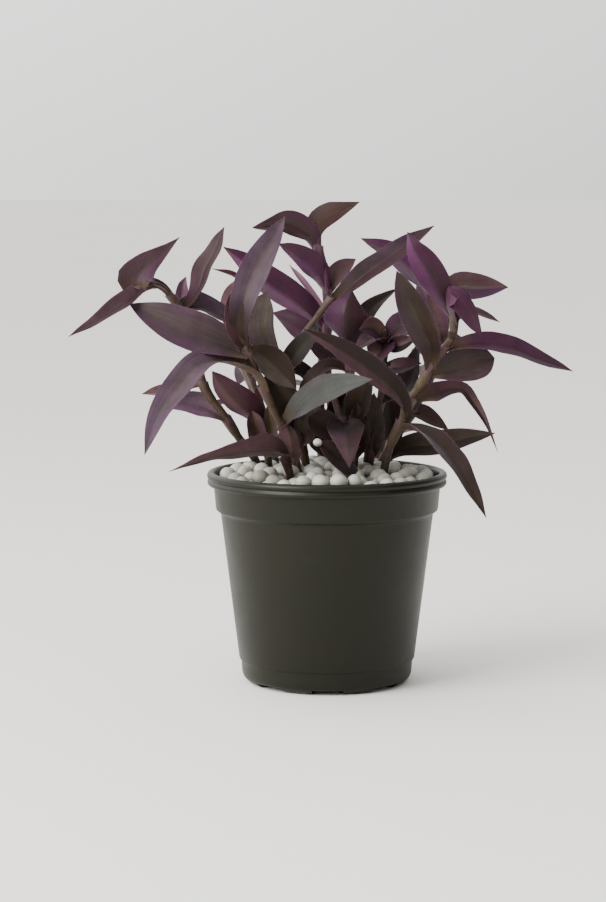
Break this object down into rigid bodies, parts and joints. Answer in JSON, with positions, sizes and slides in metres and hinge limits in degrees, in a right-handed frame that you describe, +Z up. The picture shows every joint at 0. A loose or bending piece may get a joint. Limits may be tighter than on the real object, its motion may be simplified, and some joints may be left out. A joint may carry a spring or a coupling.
{
  "type": "potted tradescantia",
  "caption": "Purple-leaved tradescantia with keeled pointed leaves on branching stems, in a round nursery pot topped with pale pebbles.",
  "frame": {"origin": "centre of the whole at the height of the pot's foot, on the pot's axis", "axes": "+Z up along the pot's axis, -Y towards the front of the plant, +X to the viewer's right"},
  "size_m": [0.3101, 0.2073, 0.3007],
  "materials": {
    "pot": "satin, dark olive grey",
    "soil": "damp dark potting soil",
    "pebbles": "smooth tumbled off-white stone",
    "plant": "downy grey-purple upper faces, bright purple and maroon undersides, olive and tan stems"
  },
  "bodies": {
    "root": {"pot": "pot", "soil": "soil", "pebbles": "pebbles", "stem_front_left": "plant", "stem_far_left": "plant", "stem_low_left": "plant", "stem_low_left_rear": "plant", "stem_diagonal": "plant", "stem_top": "plant", "stem_centre": "plant", "stem_right_front": "plant", "stem_right_rear": "plant", "stem_low_centre": "plant", "stem_rosette": "plant", "stem_rear_left": "plant", "stem_rear_centre": "plant", "stem_rear_right": "plant", "stem_far_rear": "plant"}
  },
  "joints": []
}
